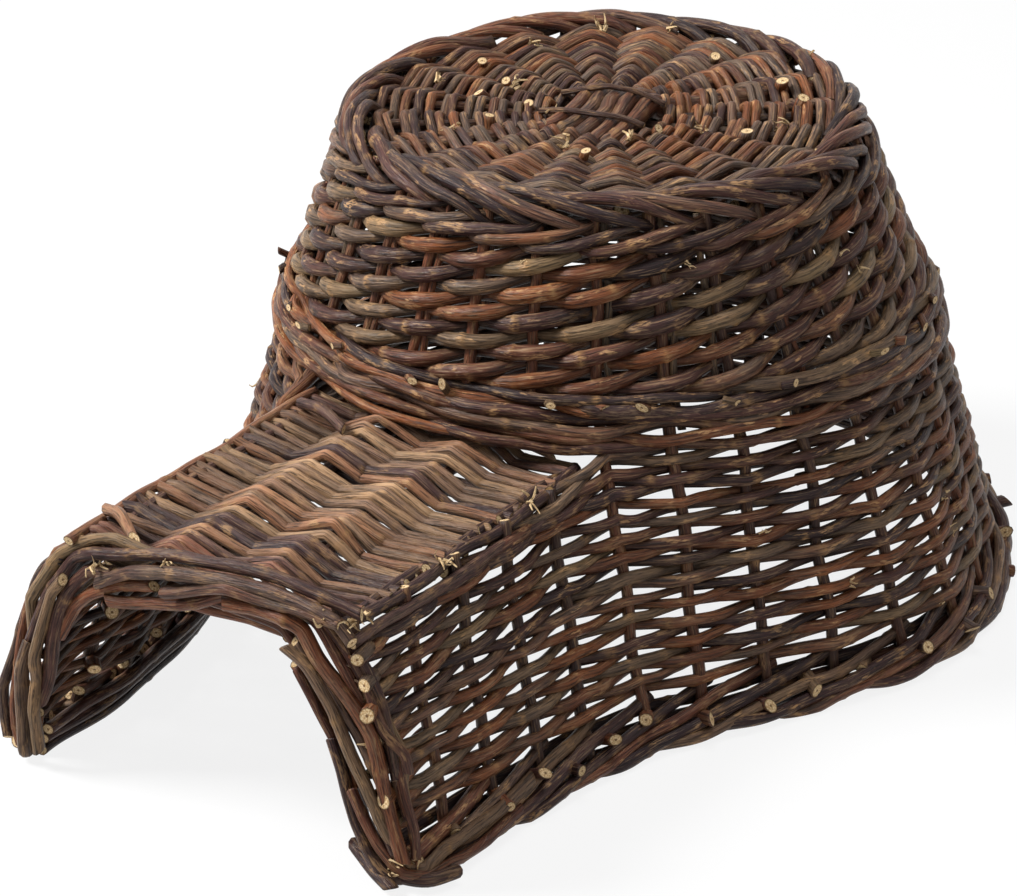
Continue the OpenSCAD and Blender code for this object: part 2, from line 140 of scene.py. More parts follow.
def around(r, turn, z):
    """Points round the dome's axis: r outwards at the angle turn from the front, at height z."""
    r, turn, z = np.broadcast_arrays(r, turn, z)
    return np.stack([r * np.sin(turn), DOME_Y - r * np.cos(turn), z], axis=-1)


def away(turn):
    """The level direction outwards at the angle turn from the front."""
    turn = np.asarray(turn, float)
    return np.stack([np.sin(turn), -np.cos(turn), np.zeros_like(turn)], axis=-1)


def along(turn):
    """The level direction round the dome at the angle turn from the front, towards larger turns."""
    return np.array([math.cos(turn), math.sin(turn), 0.0])


def flowing(corners, pace, ease_in):
    """A curve through the corners in points about pace apart.

    Each span is the Hermite cubic whose end slopes are half the step from the corner before to the corner
    after, times ease_in: less of it makes the bends at the corners tighter and the runs straighter.
    """
    p = np.asarray(corners, float)
    before = np.vstack([2 * p[:1] - p[1:2], p[:-1]])
    after = np.vstack([p[1:], 2 * p[-1:] - p[-2:-1]])
    slope = (after - before) / 2 * ease_in
    longest = np.linalg.norm(p[1:] - p[:-1], axis=1).max()
    share = np.linspace(0, 1, max(int(math.ceil(longest / pace)), 2), endpoint=False)
    t = share[None, :, None]
    spans = (
        (2 * t**3 - 3 * t**2 + 1) * p[:-1, None]
        + (t**3 - 2 * t**2 + t) * slope[:-1, None]
        + (3 * t**2 - 2 * t**3) * p[1:, None]
        + (t**3 - t**2) * slope[1:, None]
    )
    return np.vstack([spans.reshape(-1, 3), p[-1:]])


def settle(v):
    """Moves points by the house's own lean and sag.

    These are smooth steps in height and bumps in the angle round the dome, in degrees from the front.
    The crown leans to the front left, the foot bulges to the right of the tunnel's corner, the wall fills
    that corner a little, the rim stands higher at the back, and the mouth's left leg spreads at its foot.
    """
    v = v.copy()
    x, y, z = v.T.copy()
    turn = np.degrees(np.arctan2(x, DOME_Y - y))
    low, below_roof = 1 - ease(z / 0.13), 1 - ease((z - 0.105) / 0.025)
    v[:, :2] -= ease((z - 0.10) / 0.13)[:, None] * CROWN_LEAN
    bulge = FOOT_BULGE * (bump(turn, 88, 16) - bump(turn, 60, 11)) * low
    bulge += CORNER_FILL * bump(np.abs(turn), 31, 10) * below_roof
    v[:, :2] += bulge[:, None] * away(np.radians(turn))[:, :2]
    v[:, 2] += RIM_RISE * bump(np.abs(turn), 165, 45) * ease((z - 0.221) / 0.007)
    leg = ease((-0.19 - y) / 0.07) * ease(-x / 0.06) * np.clip(1 - z / 0.112, 0, 1)
    v[:, 0] -= LEG_SPREAD * leg
    return v


class Bundle:
    """Willow rods that are gathered into one piece.

    The waves are the longest and the shortest length of a rod's strays and swellings, in metres. BUD_START,
    BUD_SHIFT and BUD_TURN are the ranges of the buds' places and of the angle from one to the next.
    """

    PALE = 0.8
    BARE_GRAIN = 0.6
    GRAIN_LENGTH = 30 * MM
    BUD_GAP = 31 * MM
    BUD_LENGTH = 1.7 * MM
    BUD_START = (0.004, 0.03)
    BUD_SHIFT = (-0.009, 0.009)
    BUD_TURN = (1.9, 2.9)
    STRAY_WAVES = (0.11, 0.035)
    SWELL_WAVES = (0.06, 0.02)
    SWELL = 0.04
    OVAL = 0.06
    CUT_REACH = 5
    TONE_SPREAD = 0.035
    FLOOR_GAP = 0.1 * MM

    def __init__(self, seed, sides=8, pace=3 * MM, settled=True):
        self.rng = np.random.default_rng(seed)
        self.sides, self.pace, self.settled, self.count = sides, pace, settled, 0
        self.points, self.marks, self.quads, self.tris, self.quad_cut, self.tri_cut = [], [], [], [], [], []

    def pick(self, *tones):
        """One of the tones, a little changed."""
        return self.rng.choice(tones) + self.rng.normal(0, self.TONE_SPREAD)

    def waves(self, s, size, longest, shortest):
        """Three sine waves along s, with random lengths and starts, that add up to about size."""
        lengths = self.rng.uniform(shortest, longest, 3)
        starts = self.rng.uniform(0, 2 * math.pi, 3)
        return size / 2 * np.sin(2 * math.pi * s[:, None] / lengths + starts).sum(axis=1)

    def rod(self, corners, d, tip_d=None, tone=None, ref=UP, ease_in=1.0, crest=None, slant=(0.0, 0.0),
            face=None, stray=0.4 * MM, buds=0.2, waist=0.0, bare=False):
        """One rod along a curve through the corners.

        At each point of the curve there is a ring of points at the radius times a slow swelling, a slight
        oval, and a bump exp(-(s / length)^2) (1 + cos)^2 / 4 for each bud. The crest, a number for each
        corner, is 1 where the rod lies outside, and the waist is the share that its radius loses where the
        crest is 0. Each end is closed by a smaller ring and a middle point, and leans by the slant's tangent
        times the distance across the rod, so that the cut looks towards face. A bare rod has no bark.
        """
        rng, k = self.rng, self.sides
        path = flowing(corners, self.pace, ease_in)
        m = len(path)
        s = np.concatenate([[0], np.cumsum(np.linalg.norm(np.diff(path, axis=0), axis=1))])
        t = unit(np.gradient(path, axis=0))
        u = unit(np.cross(ref, t))
        v = np.cross(t, u)
        for direction in (u, v):
            path = path + self.waves(s, stray, *self.STRAY_WAVES)[:, None] * direction
        radius = np.interp(s, [0, s[-1]], [d / 2, (d if tip_d is None else tip_d) / 2])
        crest = [0.5] if crest is None else crest
        crest = np.interp(np.linspace(0, 1, m), np.linspace(0, 1, len(crest)), crest)
        radius = radius * (1 + self.waves(s, self.SWELL, *self.SWELL_WAVES)) * (1 - waist * (1 - crest))
        angle = np.linspace(0, 2 * math.pi, k, endpoint=False)
        knot = np.zeros((m, k))
        if buds:
            at = np.arange(rng.uniform(*self.BUD_START), s[-1], self.BUD_GAP)
            at = at + rng.uniform(*self.BUD_SHIFT, len(at))
            facing = np.cumsum(rng.uniform(*self.BUD_TURN, len(at)))
            knot = np.einsum("mb,jb->mj", bump(s[:, None], at, self.BUD_LENGTH),
                             ((1 + np.cos(angle[:, None] - facing)) / 2) ** 2)
        swell = 1 + self.OVAL * np.cos(2 * angle + rng.uniform(0, 6)) + buds * knot
        across = np.cos(angle)[None, :, None] * u[:, None] + np.sin(angle)[None, :, None] * v[:, None]
        rings = path[:, None] + (radius[:, None] * swell)[..., None] * across
        turn = rng.uniform(0, 2 * math.pi, 2)
        if face is not None:
            turn = np.arctan2(v[[0, -1]] @ face, u[[0, -1]] @ face) + [0, math.pi]
        reach = self.CUT_REACH * radius.mean()
        near = np.clip(1 - np.stack([s, s[-1] - s]) / reach, 0, 1)
        for end in (0, 1):
            shear = math.tan(slant[end]) * near[end][:, None] * radius[:, None] * np.cos(angle - turn[end])
            rings = rings + shear[..., None] * t[:, None]
        middle = rings[[0, -1]].mean(axis=1)
        inner = middle[:, None] + (rings[[0, -1]] - middle[:, None]) * self.PALE
        self.points.append(np.vstack([rings.reshape(-1, 3), inner.reshape(-1, 3), middle]))
        ring = np.stack([np.zeros(k), np.cos(angle), np.sin(angle)], axis=-1)
        ring = ring * self.BARE_GRAIN if bare else ring
        far = np.array([s[-1] / self.GRAIN_LENGTH, 0, 0])
        grain = ring + np.stack([s / self.GRAIN_LENGTH, 0 * s, 0 * s], axis=-1)[:, None]
        grain = np.vstack([grain.reshape(-1, 3), ring * self.PALE, ring * self.PALE + far, 0 * far, far])
        grain[:, 0] += rng.uniform(0, 100)
        rest = np.zeros(2 * k + 2)
        tones = np.full(len(grain), rng.uniform() if tone is None else tone)
        # The crest goes to the bark for wear on the outside, and for painted shade where the rod passes
        # inside
        crest_mask, buds = np.append(np.repeat(crest, k), rest), np.append(knot.ravel(), rest)
        self.marks.append(np.column_stack([grain, tones, crest_mask, buds]))
        self.skin(m, bare)

    def skin(self, m, bare):
        """The newest rod's faces: squares between its m rings, and squares and triangles on each end."""
        k = self.sides
        i, j = np.meshgrid(np.arange(m - 1), np.arange(k), indexing="ij")
        a, b = i * k + j, i * k + (j + 1) % k
        side = np.stack([a, b, b + k, a + k], axis=-1).reshape(-1, 4)
        j = np.arange(k)
        n = (j + 1) % k
        first, last = m * k, m * k + k
        rims = np.vstack([
            np.stack([n, j, first + j, first + n], axis=-1),
            np.stack([first - k + j, first - k + n, last + n, last + j], axis=-1),
        ])
        tips = np.vstack([
            np.stack([first + n, first + j, np.full(k, last + k)], axis=-1),
            np.stack([last + j, last + n, np.full(k, last + k + 1)], axis=-1),
        ])
        self.quads += [side + self.count, rims + self.count]
        self.quad_cut += [np.full(len(side), float(bare)), np.ones(len(rims))]
        self.tris.append(tips + self.count)
        self.tri_cut.append(np.ones(len(tips)))
        self.count += last + k + 2

    def butt(self, at, direction, d, length, tone=None, slant=0.3, face=None):
        """A short thick end with a pale cut face, which reaches length from a point in a direction."""
        at, direction = np.asarray(at, float), unit(np.asarray(direction, float))
        ref = UP if abs(direction[2]) < 0.9 else BACKWARD
        run = at + direction * np.array([[0], [0.5], [1]]) * length
        self.rod(run, d * 1.02, d, tone, ref=ref, slant=(0, slant), face=face, stray=0, buds=0)

    def torn(self, at, direction, count, length, d=0.8 * MM):
        """Splinters of bare wood that spread from a point about a direction."""
        at, direction = np.asarray(at, float), unit(np.asarray(direction, float))
        for _ in range(count):
            lean = unit(direction + self.rng.normal(0, 0.45, 3)) * length * self.rng.uniform(0.5, 1.1)
            start = at + self.rng.normal(0, 1.3 * MM, 3)
            sag = self.rng.normal(0, 0.12, 3) * length
            size = d * self.rng.uniform(0.7, 1.9)
            run = [start, start + lean * 0.5 + sag, start + lean]
            self.rod(run, size, size * 0.35, stray=0, buds=0, bare=True)

    def make(self, name, finish, slot, *nodes):
        """The mesh of all the rods, kept above the floor, as a piece that stands for the named nodes."""
        quads, tris = np.vstack(self.quads), np.vstack(self.tris)
        corners = np.concatenate([quads.ravel(), tris.ravel()]).astype(np.int32)
        starts = np.concatenate([np.arange(len(quads)) * 4, len(quads) * 4 + np.arange(len(tris)) * 3])
        cut = np.concatenate([*self.quad_cut, *self.tri_cut])
        marks = np.vstack(self.marks)
        points = np.vstack(self.points)
        points = settle(points) if self.settled else points
        points[:, 2] = np.maximum(points[:, 2], self.FLOOR_GAP)
        mesh = bpy.data.meshes.new(name)
        mesh.vertices.add(len(points))
        mesh.vertices.foreach_set("co", points.astype(np.float32).ravel())
        mesh.loops.add(len(corners))
        mesh.loops.foreach_set("vertex_index", corners)
        mesh.polygons.add(len(starts))
        mesh.polygons.foreach_set("loop_start", starts.astype(np.int32))
        mesh.update(calc_edges=True)
        mesh.polygons.foreach_set("use_smooth", cut < 0.5)
        for label, kind, domain, values in (
            ("grain", "FLOAT_VECTOR", "POINT", marks[:, :3]),
            ("tone", "FLOAT", "POINT", marks[:, 3]),
            ("crest", "FLOAT", "POINT", marks[:, 4]),
            ("knot", "FLOAT", "POINT", marks[:, 5]),
            ("cut", "FLOAT", "FACE", cut),
        ):
            layer = mesh.attributes.new(label, kind, domain)
            field = "vector" if kind == "FLOAT_VECTOR" else "value"
            layer.data.foreach_set(field, values.astype(np.float32).ravel())
        mesh.materials.append(finish)
        piece = bpy.data.objects.new(name, mesh)
        bpy.context.scene.collection.objects.link(piece)
        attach(piece, "root")
        if nodes:
            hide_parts(*nodes)


def rows(label, count):
    """The names of a run of woven rows."""
    return [f"{label}_weave_row_{i:02d}" for i in range(1, count + 1)]


def sides_of(count, shift):
    """1 for the stakes that a row passes outside or over, and -1 for the others, turn by turn."""
    return np.where((np.arange(count) + shift) % 2 == 0, 1.0, -1.0)


def strokes(k, sides, flat):
    """Places, counted in stakes, of a rod that weaves past the stakes k, and its share of the reach at each.

    At a stake that it passes outside there are three places, flat apart, so that it lies straight there.
    At the others there is one.
    """
    outer = (sides > 0)[:, None]
    place = k[:, None] + np.array([-flat, 0, flat])
    out = np.where(outer, np.array([0.75, 1.0, 0.75]), -1.0)
    keep = outer | np.array([False, True, False])
    return place[keep], out[keep]


# Stakes of the walls

turns = (np.arange(STAKES) + 0.5) * STAKE_STEP
wall_turns = turns[FRONT_HALF:STAKES - FRONT_HALF]
front_turns = np.concatenate([turns[:FRONT_HALF], turns[-FRONT_HALF:] - 2 * math.pi])


def wall_r(z):
    """Radius of the stakes' middles at height z, on a straight line from the shoulder to the crown."""
    return SHOULDER_R + (CROWN_R - SHOULDER_R) * (z - SHOULDER_Z) / (STAKE_TOP_Z - SHOULDER_Z)


def foot_half(y):
    """Half width of the keyhole outline of the feet, y behind the dome's axis.

    It is the larger of the tunnel's straight side and the dome's circle. Where they are less than the blend
    apart, the corner between them is filled by (blend - distance)^2 / (4 blend).
    """
    line = MOUTH_HALF + TUNNEL_FLARE * (y + MOUTH_REACH)
    circle = np.sqrt(np.maximum(FOOT_R**2 - y**2, 0))
    fill = np.maximum(CORNER_BLEND - np.abs(line - circle), 0) ** 2 / (4 * CORNER_BLEND)
    return np.maximum(line, circle) + fill


def tunnel_lines(side):
    """Tops and feet of one tunnel wall's stakes, from the mouth to the dome."""
    share = np.arange(TUNNEL_STAKES) / TUNNEL_STAKES
    top_y = -TUNNEL_FRONT + share * (TUNNEL_FRONT - SHOULDER_R * math.cos(wall_turns[0]))
    foot_y = -TUNNEL_FRONT + share * (TUNNEL_FRONT - FOOT_R * math.cos(wall_turns[0]))
    same = np.ones(TUNNEL_STAKES)
    tops = np.stack([side * TUNNEL_TOP_X * same, DOME_Y + top_y, (STICK_Z + STAKE_D / 2) * same], axis=-1)
    feet = np.stack([side * foot_half(foot_y), DOME_Y + foot_y, FOOT_Z * same], axis=-1)
    return tops, feet


right_tops, right_feet = tunnel_lines(1)
left_tops, left_feet = tunnel_lines(-1)
dome_feet = around(FOOT_R, wall_turns, FOOT_Z)
ahead = np.cos(wall_turns) > 0
dome_feet[ahead, 0] = np.sign(dome_feet[ahead, 0]) * foot_half(dome_feet[ahead, 1] - DOME_Y)
SKIRT_TOPS = np.vstack([right_tops, around(SHOULDER_R, wall_turns, SHOULDER_Z), left_tops[::-1]])
SKIRT_FEET = np.vstack([right_feet, dome_feet, left_feet[::-1]])
SKIRT = len(SKIRT_TOPS)


def skirt(z):
    """The middles of the lower wall's stakes at height z, which is one number or one for each stake."""
    share = (SKIRT_TOPS[:, 2] - z) / (SKIRT_TOPS[:, 2] - FOOT_Z)
    return SKIRT_TOPS + share[:, None] * (SKIRT_FEET - SKIRT_TOPS)


def between(values, place):
    """The values at places between them, on straight lines that run on past both ends."""
    first = np.clip(np.floor(place).astype(int), 0, len(values) - 2)
    share = (place - first)[:, None]
    return values[first] * (1 - share) + values[first + 1] * share


def heading(points):
    """The direction along a line of points, from the point before each to the point after it."""
    after = np.vstack([points[1:2], points[2:], points[-1:]])
    return unit(after - np.vstack([points[:1], points[:-2], points[-2:-1]]))


def outward(points):
    """The level direction to the right of the line's heading."""
    return unit(np.cross(heading(points), UP))


foot_middles = skirt(FOOT_Z)
foot_out, foot_along = outward(foot_middles), heading(foot_middles)


def beside_foot(place, out, z):
    """Points out from the line of the feet, at height z.

    Place, out and z are lists. Place counts stakes from the right of the mouth. Out and z are millimetres.
    """
    place, out, z = np.asarray(place, float), np.asarray(out, float) * MM, np.asarray(z, float) * MM
    base, lean = between(SKIRT_FEET, place), between(SKIRT_TOPS - SKIRT_FEET, place)
    rise = (z - FOOT_Z) / lean[:, 2]
    return base + lean * rise[:, None] + unit(between(foot_out, place)) * out[:, None]


stakes = Bundle(1)
for k, turn in enumerate(wall_turns):
    top, shoulder = around(CROWN_R, turn, STAKE_TOP_Z), SKIRT_TOPS[TUNNEL_STAKES + k]
    foot = SKIRT_FEET[TUNNEL_STAKES + k]
    above, below = shoulder + (top - shoulder) * SHOULDER_BEND, shoulder + (foot - shoulder) * SHOULDER_BEND
    run = [top, (top + shoulder) / 2, above, below, (below + foot) / 2, foot]
    stakes.rod(run, STAKE_D, STAKE_D * 1.05, stakes.pick(0.2, 0.35, 0.5), ref=away(turn), stray=0.8 * MM)
for turn in front_turns:
    low = around(SHOULDER_R + 4.5 * MM, turn, FRONT_STAKE_Z)
    low[0] = SHOULDER_R * math.sin(turn)
    run = around([CROWN_R, wall_r(HALFWAY_Z), SHOULDER_R], turn, [STAKE_TOP_Z, HALFWAY_Z, SHOULDER_Z])
    stakes.rod(np.vstack([run, low]), STAKE_D, tone=stakes.pick(0.3, 0.5), ref=away(turn), stray=0.8 * MM)
for turn in turns[stakes.rng.permutation(STAKES)[:BYE_STAKES]]:
    heights = np.linspace(*BYE_STAKE_Z, 4)
    beside = turn + stakes.rng.choice([-1, 1]) * BYE_STAKE_TURN
    run = around(wall_r(heights) - 0.4 * MM, beside, heights)
    stakes.rod(run, 3.8 * MM, 3.2 * MM, stakes.pick(0.5, 0.8, 0.9), ref=away(turn), stray=1.0 * MM)
for top, foot in zip(np.vstack([right_tops, left_tops]), np.vstack([right_feet, left_feet])):
    stakes.rod([top, (top + foot) / 2, foot], STAKE_D, tone=stakes.pick(0.0, 0.15, 0.3), ref=BACKWARD,
               stray=0.7 * MM)

# Upper wall: a rod starts at each stake and climbs to the right, outside one stake and inside the next,
# under a band of long rods that rise past three stakes

upper = Bundle(2)
for j in range(STAKES):
    for start, end in UPPER_LENGTHS:
        k = np.arange(start, end + 1)
        place, share = strokes(k, sides_of(end + 1, 1)[k], UPPER_FLAT)
        place = np.concatenate([[start - 0.2], place, [end + 0.2]])
        share = np.concatenate([[UPPER_TUCK], share, [UPPER_TUCK]])
        d = upper.rng.uniform(7.4, 8.8) * MM
        out = share * np.where(share > 0, *UPPER_SHARES) * (STAKE_D + d) / 2
        level = UPPER_FOOT_Z + UPPER_CLIMB * place
        level = level + upper.rng.normal(0, 0.5 * MM) + upper.waves(place, 0.5 * MM, 9, 3)
        corners = around(wall_r(level) + out, (j + place + 0.5) * STAKE_STEP, level)
        tone = upper.pick(0.05, 0.12, 0.2, 0.25, 0.36, 0.45, 0.6, 0.66, 0.76, 0.84)
        upper.rod(corners, d * 1.05, d * 0.94, tone, ease_in=0.7, crest=np.clip(share, 0, 1), waist=0.34,
                  stray=0.5 * MM)
for j in range(STAKES):
    place = j + np.array([-0.5, 0, 0.6, 1.2, 1.8, 2.2])
    d = upper.rng.uniform(5.6, 6.8) * MM
    out = np.array([-1, 0.8, 1.0, 0.95, 0.5, -0.8]) * (STAKE_D + d) / 2
    z = np.array([208.5, 210, 213, 216, 219, 220.5]) * MM + upper.rng.normal(0, 0.6 * MM, 6)
    tone = upper.pick(0.0, 0.06, 0.12, 0.2, 0.36, 0.6, 0.7)
    upper.rod(around(wall_r(z) + out, (place + 0.5) * STAKE_STEP, z), d * 1.05, d * 0.9, tone,
              crest=[0, 0.6, 1, 0.9, 0.3, 0], waist=0.2, stray=0.5 * MM)

# Shoulder wale: a tight band of long rods, outside three stakes and inside the fourth, with butts on its
# upper edge

wale = Bundle(3)
for w, z in enumerate(WALE_ZS):
    for start in range(0, STAKES, 6):
        k = np.arange(start - 1, start + 8) + 2 * w
        d = wale.rng.uniform(5.6, 6.9) * MM
        reach = (STAKE_D + d) / 2 + 0.6 * MM
        out = np.where((k + w) % 4 == 3, 0.25, 1.0) * reach
        out[[0, -1]] = -reach
        r = wall_r(z) if z > SHOULDER_Z else SHOULDER_R + (SHOULDER_Z - z) * 0.29
        corners = around(r + out, (k + 0.5) * STAKE_STEP, z + wale.rng.normal(0, 0.9 * MM, len(k)))
        wale.rod(corners, d * 1.08, d * 0.78, wale.pick(0.05, 0.15, 0.2, 0.35, 0.5, 0.68),
                 crest=np.clip(out / reach, 0, 1), stray=0.6 * MM)
for turn in turns + wale.rng.uniform(-0.08, 0.08, STAKES):
    at = around(SHOULDER_R + 4.5 * MM, turn, wale.rng.uniform(144.5, 149.5) * MM)
    toward = along(turn) * wale.rng.uniform(-1.0, 1.0) + away(turn) * 0.35 + UP * wale.rng.normal(0.1, 0.2)
    wale.butt(at, toward, wale.rng.uniform(3.4, 4.6) * MM, wale.rng.uniform(5, 7.5) * MM,
              slant=wale.rng.uniform(0.6, 1.1), face=away(turn))

# Lower wall: plain weave that runs round the dome and along both tunnel walls. The rods above those that
# reach the mouth tuck in behind a stake, each one stake further back, under the edge of the tunnel's roof.

lower = Bundle(4, pace=5.2 * MM)
in_tunnel = np.minimum(np.arange(SKIRT), np.arange(SKIRT)[::-1]) < TUNNEL_STAKES
for i, z in enumerate(np.linspace(*LOWER_RODS)):
    above = max(i - LAST_TUNNEL_ROD, 0)
    drift = lower.waves(np.arange(SKIRT) * 1.0, 1.3 * MM, 14, 7)
    ceiling = np.where(in_tunnel, TUNNEL_CEILING_Z + TUNNEL_CEILING_STEP * above, np.inf)
    middles = skirt(np.minimum(z + drift, ceiling))
    row_out = outward(middles)
    sides = sides_of(SKIRT, i)
    low, high = above, SKIRT - 1 - above
    cuts = low + np.cumsum(lower.rng.choice([4, 6, 6, 8], 12))
    cuts = cuts[cuts < high - 3]
    stops_at = np.concatenate([[low], cuts + (sides[cuts] > 0), [high]])
    for start, end in zip(stops_at[:-1], stops_at[1:]):
        k = np.arange(start, end + 1)
        place, share = strokes(k, sides[k], LOWER_FLAT)
        place = np.clip(np.concatenate([[start - 0.16], place, [end + 0.16]]), low - 0.1, high + 0.1)
        share = np.concatenate([share[:1], share, share[-1:]])
        if above:
            share[(place < low + 0.2) | (place > high - 0.2)] = LOWER_TUCK
        d = lower.rng.uniform(5.0, 6.3) * MM
        out = share * np.where(share > 0, *LOWER_SHARES) * (STAKE_D + d) / 2
        corners = between(middles, place) + unit(between(row_out, place)) * out[:, None]
        corners[:, 2] += lower.rng.normal(0, 0.4 * MM, len(place))
        tone = lower.pick(0.0, 0.1, 0.15, 0.22, 0.36, 0.46, 0.6, 0.64, 0.66, 0.7, 0.78)
        lower.rod(corners, d * 1.05, d * 0.9, tone, ease_in=0.6, crest=np.clip(share, 0, 1) ** 1.5,
                  slant=(0.3, 0.3), waist=0.12)
    if not above and i % 3 == 1:
        at = middles[0] + row_out[0] * 3.5 * MM + BACKWARD * 4 * MM
        lower.butt(at, [0.25, -1, 0.05], lower.rng.uniform(6.2, 7.6) * MM, lower.rng.uniform(10, 15) * MM,
                   lower.pick(0.5, 0.66, 0.8), slant=0.25)
    if not above and i % 7 == 3:
        at = middles[-1] - row_out[-1] * 3 * MM + BACKWARD * lower.rng.uniform(8, 34) * MM
        lower.butt(at, [0.75, -0.7, 0.1], lower.rng.uniform(5.2, 6.6) * MM, 11 * MM, 0.4, slant=0.5)

# Crown: slath, rows of pairs and rim

slath = Bundle(5, sides=10)
for layer, swap in ((1, False), (-1, True)):
    for i in np.arange(SLATH_STICKS) - SLATH_STICKS // 2:
        fan = i * math.pi / 2 / SLATH_STICKS
        spoke = [[r * MM * math.sin(fan), r * MM * math.cos(fan), 0] for r in (34, 70, 110)]
        half = np.array([[SLATH_GAP * i, 17 * MM, layer * SLATH_LIFT], *spoke])
        run = np.vstack([half[::-1] * [1, -1, 1], half])
        run[3:5, 0] -= SLATH_SLANT * run[3:5, 1]
        run = run[:, [1, 0, 2]] if swap else run
        d = 8.6 * MM if layer > 0 else 5 * MM
        slath.rod(run + [0, DOME_Y, SPOKE_Z], d, d * 0.9, slath.pick(0.12, 0.3, 0.62, 0.7), stray=0.5 * MM)
for side in (-1, 1):
    y = DOME_Y + side * 13 * MM
    across = np.array([-27, -14, 0, 14, 25]) * MM
    height = np.array([229, 231.6, 232.0, 231.8, 229.2]) * MM
    run = np.stack([across - side * 2 * MM, y + 0.2 * across, height], axis=-1)
    slath.rod(run, 3.1 * MM, 2.7 * MM, 0.2, stray=0.5 * MM)

crown = Bundle(6)
for i, r in enumerate(np.linspace(*CROWN_RODS)):
    d = (4.3 + 0.7 * i / CROWN_ROWS) * MM
    for partner in (0, 1):
        sides = sides_of(SPOKES, i + partner)
        first = (i + partner + 1) % 2 + 2 * crown.rng.integers(0, 5)
        for start, end in ((first, first + 6), (first + 6, first + 14), (first + 14, first + SPOKES)):
            k = np.arange(start - 1, end + 2)
            size = d * crown.rng.uniform(0.9, 1.12)
            reach = (SPOKE_D + size) / 2
            lift = sides[k % SPOKES] * reach
            lift[[0, -1]] = -reach - 1 * MM
            turn = k * 2 * math.pi / SPOKES
            turn[0], turn[-1] = turn[1] - 0.1, turn[-2] + 0.1
            shift = (partner - 0.5) * 1.4 * MM + crown.rng.normal(0, 0.6 * MM, len(k))
            corners = around(r + shift, turn, SPOKE_Z + lift + crown.rng.normal(0, 0.4 * MM, len(k)))
            tone = crown.pick(0.05, 0.15, 0.3, 0.45, 0.6, 0.64, 0.66, 0.68, 0.72)
            crown.rod(corners, size * 1.05, size * 0.9, tone, ease_in=0.3, crest=np.clip(lift / reach, 0, 1),
                      stray=0.35 * MM)
# Cut ends that stand up in the crown: x, y and thickness
CROWN_BUTTS = ((-61, 60, 6.0), (54, 135, 6.4), (74, 119, 6.8), (70, 73, 6.2), (29, 61, 5.0), (-42, 59, 4.6),
               (-61, 75, 4.4), (-38, 25, 5.0), (-85, 92, 5.0), (5, 155, 5.6), (20, 12, 4.8))
for x, y, d in CROWN_BUTTS:
    tilt = crown.rng.normal(0, 0.4, 2) + [0.2, -0.3]
    crown.butt(np.array([x, y, 221]) * MM, [*tilt, 1], d * MM, crown.rng.uniform(10, 12.5) * MM,
               crown.pick(0.5, 0.66), slant=crown.rng.uniform(0.1, 0.6))

rim = Bundle(7, sides=10)
for turn in turns:
    steps = np.array([-0.45, 0.1, 0.9, 1.8, 2.7, 3.3]) * STAKE_STEP + rim.rng.normal(0, 0.03)
    r = np.array([109.5, 112.5, 117.0, 121.5, 123.5, 117.0]) * MM + rim.rng.normal(0, 0.9 * MM)
    z = np.array([225.0, 229.6, 231.0, 228.0, 220.5, 211.5]) * MM + rim.rng.normal(0, 0.8 * MM, 6)
    d = rim.rng.uniform(5.8, 7.4) * MM
    rim.rod(around(r, turn + steps, z), d, d * 0.8, rim.pick(0.0, 0.06, 0.12, 0.18, 0.25, 0.33, 0.6),
            crest=[0, 0.4, 0.9, 0.9, 0.4, 0], stray=0.6 * MM, slant=(0.5, 0.5))

# Tunnel roof: long sticks, edge rods, rods bent over the sticks, rods under them and a few stray ends

roof = Bundle(8)
for x in STICK_XS:
    ys = np.linspace(-259, -72, 5) * MM
    run = np.stack([x + 0 * ys, ys, STICK_Z + 0 * ys], axis=-1)
    roof.rod(run, 5.6 * MM, 5.0 * MM, roof.pick(0.0, 0.15), stray=0.9 * MM)
for x, z, tone in ((72, 117, 0.0), (77, 112, 0.1), (-73, 119, 0.4)):
    ys = np.linspace(-263, -76, 6) * MM
    sag = np.array([0, 1, 1.6, 1.6, 1, 0]) * MM
    run = np.stack([x * MM + math.copysign(1, x) * sag, ys, z * MM - sag], axis=-1)
    roof.rod(run, 5.6 * MM, 4.8 * MM, tone, stray=0.9 * MM, slant=(0.4, 0.4))
# Where a cross rod bends, and how high its middle lies there above the sticks' middles
ROOF_XS = np.array([-73, -67, -45, -24, -2, 22, 40, 66, 72]) * MM
ROOF_OVER = np.array([2, 1.5, -2.5, 8.2, 0.5, 7.4, -1.5, 0.5, 1.0]) * MM
for y in np.linspace(*ROOF_OVER_RODS):
    x = ROOF_XS + roof.rng.normal(0, 1.2 * MM, len(ROOF_XS))
    z = STICK_Z + ROOF_OVER + roof.rng.normal(0, 0.7 * MM, len(x))
    d = roof.rng.choice([4.7, 5.0, 5.2, 5.5, 5.9, 6.5]) * MM
    tone = roof.pick(0.05, 0.17, 0.33, 0.45, 0.62, 0.66, 0.7, 0.8, 0.85, 0.92)
    run = np.stack([x, y + roof.rng.normal(0, 0.8 * MM) + roof.rng.normal(0, 0.5 * MM, len(x)), z], axis=-1)
    roof.rod(run, d, d * 0.92, tone, ref=BACKWARD, ease_in=0.2, slant=(0.4, 0.5),
             crest=[0.3, 0.4, 0, 1, 0.3, 1, 0.2, 0.4, 0.3])
for y in np.linspace(*ROOF_UNDER_RODS):
    x = np.array([-72, -40, 0, 40, 72]) * MM
    z = STICK_Z + np.array([-3, -5.5, -4.5, -5.5, -3]) * MM
    run = np.stack([x, y + 4 * MM + 0 * x, z], axis=-1)
    # A crest of 0 gives these rods painted shade along their whole length
    roof.rod(run, 5.4 * MM, 4.8 * MM, roof.pick(0.0, 0.1), ref=BACKWARD, crest=[0], stray=0.8 * MM)
